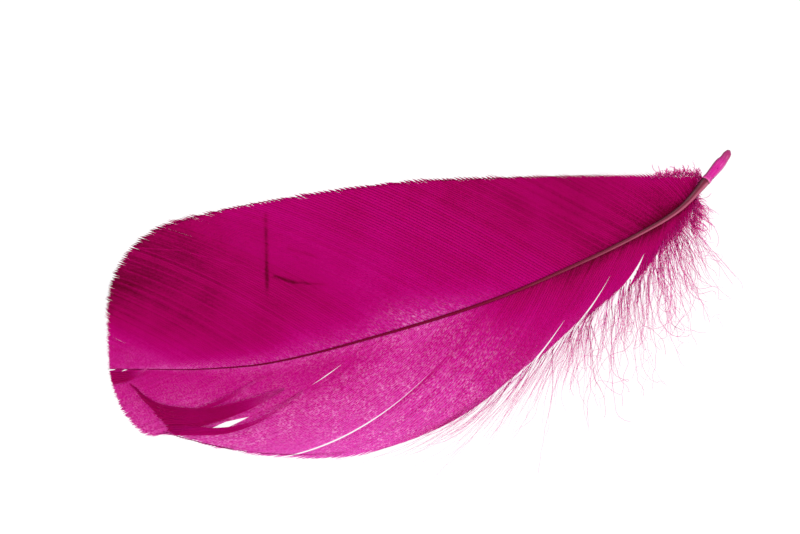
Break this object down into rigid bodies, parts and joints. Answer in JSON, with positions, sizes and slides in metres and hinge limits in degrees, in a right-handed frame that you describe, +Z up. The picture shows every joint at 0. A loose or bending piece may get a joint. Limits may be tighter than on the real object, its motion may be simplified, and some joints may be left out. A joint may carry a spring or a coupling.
{
  "type": "goose shoulder feather",
  "caption": "Dyed feather lying on its bowed back: bare quill, curved shaft, broad and narrow vanes with splits along the barbs, fringe of down at the base.",
  "frame": {"origin": "middle of the feather's footprint, on the surface that it lies on", "axes": "+X along the chord from the vane's tip to the quill's end, +Y towards the broad vane, +Z up from the surface"},
  "size_m": [0.1505, 0.0855, 0.0109],
  "materials": {
    "dyed_feather": "dyed keratin barbs: soft satin vanes that let light through, glossy mauve-brown shaft, clear pink quill end"
  },
  "bodies": {
    "root": {"feather": "dyed_feather"}
  },
  "joints": []
}
